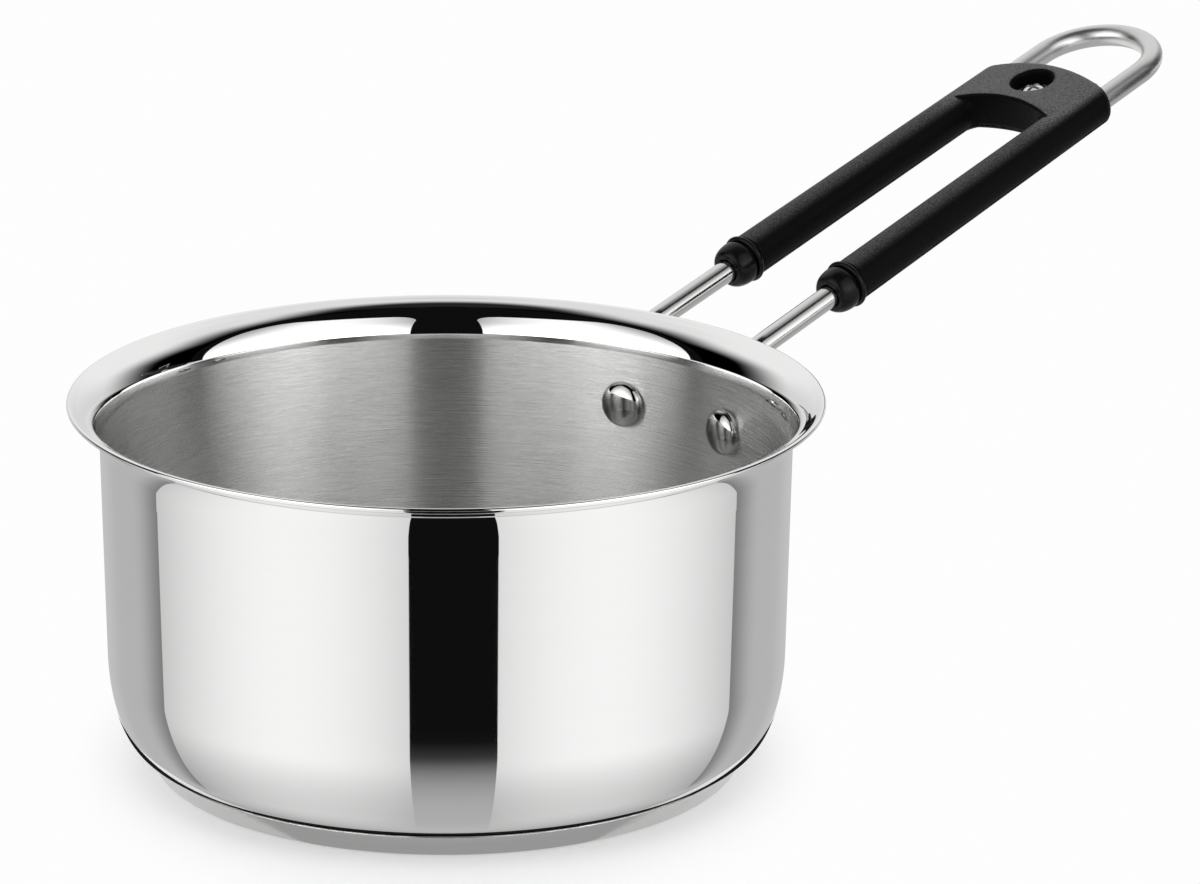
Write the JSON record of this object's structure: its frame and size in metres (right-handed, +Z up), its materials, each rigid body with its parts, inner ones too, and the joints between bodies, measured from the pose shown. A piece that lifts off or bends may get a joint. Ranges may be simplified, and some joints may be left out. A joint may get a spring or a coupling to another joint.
{
  "type": "saucepan",
  "caption": "Steel saucepan with a flared pouring rim, a capsule base and a riveted hairpin wire handle that carries a split black grip and ends in a hanging loop.",
  "frame": {"origin": "centre of the base underside, where the pan stands", "axes": "+Z up through the vessel's axis, +X along the handle away from the vessel, +Y to the left of the handle"},
  "size_m": [0.3377, 0.1744, 0.1343],
  "materials": {
    "polished_steel": "mirror-polished stainless steel outside, satin inside",
    "satin_steel": "satin stainless steel with turned brushing",
    "wire_steel": "polished drawn stainless wire with lengthwise streaks",
    "aluminium": "plain rolled disc",
    "grained_black": "black thermoset with a fine spark grain",
    "smooth_black": "smooth black moulding",
    "screw_steel": "plated screw and nut"
  },
  "bodies": {
    "root": {"pan_body": "polished_steel", "heat_core_disc": "aluminium", "base_cap": "satin_steel", "handle_wire": "wire_steel", "rivet_left": "polished_steel", "rivet_right": "polished_steel", "grip_upper": "grained_black", "grip_lower": "grained_black", "nose_cap_left": "smooth_black", "nose_cap_right": "smooth_black", "grip_screw": "screw_steel", "grip_nut": "screw_steel"}
  },
  "joints": []
}
